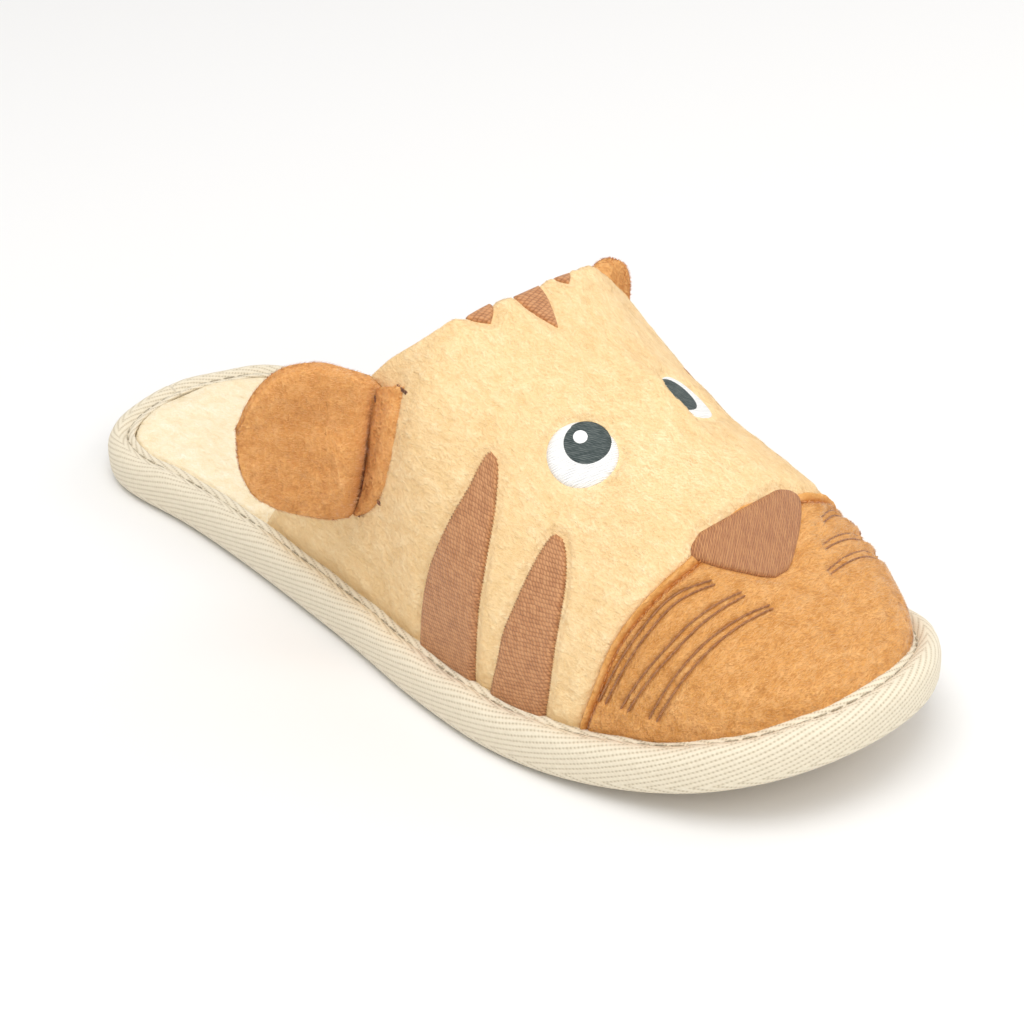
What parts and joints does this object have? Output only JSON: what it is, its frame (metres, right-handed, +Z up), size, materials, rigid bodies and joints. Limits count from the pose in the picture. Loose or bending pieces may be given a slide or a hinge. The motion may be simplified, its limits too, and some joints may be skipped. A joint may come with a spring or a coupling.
{
  "type": "animal slipper",
  "caption": "Open-backed plush slipper with a tiger-like animal face, padded ears, embroidered stripes and a tape-bound foam sole.",
  "frame": {"origin": "on the floor below the middle of the slipper's length and width", "axes": "+Z up, -Y toward the toe, +X toward the wearer's left"},
  "size_m": [0.1124, 0.23, 0.0789],
  "materials": {
    "grip_sole": "matte non-slip sole fabric with raised grip dots",
    "foam_board": "soft closed-cell foam board, hidden inside the bound edge",
    "footbed_plush": "short cream plush over the foam footbed",
    "twill_tape": "cream herringbone twill tape, stitched close to its inner edge",
    "cream_plush": "short brushed cream plush over wadding",
    "orange_plush": "short brushed orange plush",
    "brown_thread": "brown embroidery, dense filling stitch",
    "white_thread": "white embroidery, satin stitch with a soft sheen",
    "grey_thread": "dark grey embroidery, satin stitch with a soft sheen",
    "whisker_thread": "brown line stitch, two rows with a ridge of plush between"
  },
  "bodies": {
    "root": {"outsole": "grip_sole", "midsole": "foam_board", "insole": "footbed_plush", "edge_binding": "twill_tape", "upper": "cream_plush", "muzzle_panel": "orange_plush", "ear_right": "orange_plush", "ear_left": "orange_plush", "nose": "brown_thread", "eye_white_right": "white_thread", "eye_white_left": "white_thread", "pupil_right": "grey_thread", "pupil_left": "grey_thread", "side_stripe_rear_right": "brown_thread", "side_stripe_rear_left": "brown_thread", "side_stripe_front_right": "brown_thread", "side_stripe_front_left": "brown_thread", "forehead_stripe_right": "brown_thread", "forehead_stripe_middle": "brown_thread", "forehead_stripe_left": "brown_thread", "whisker_1_right": "whisker_thread", "whisker_1_left": "whisker_thread", "whisker_2_right": "whisker_thread", "whisker_2_left": "whisker_thread", "whisker_3_right": "whisker_thread", "whisker_3_left": "whisker_thread"}
  },
  "joints": []
}
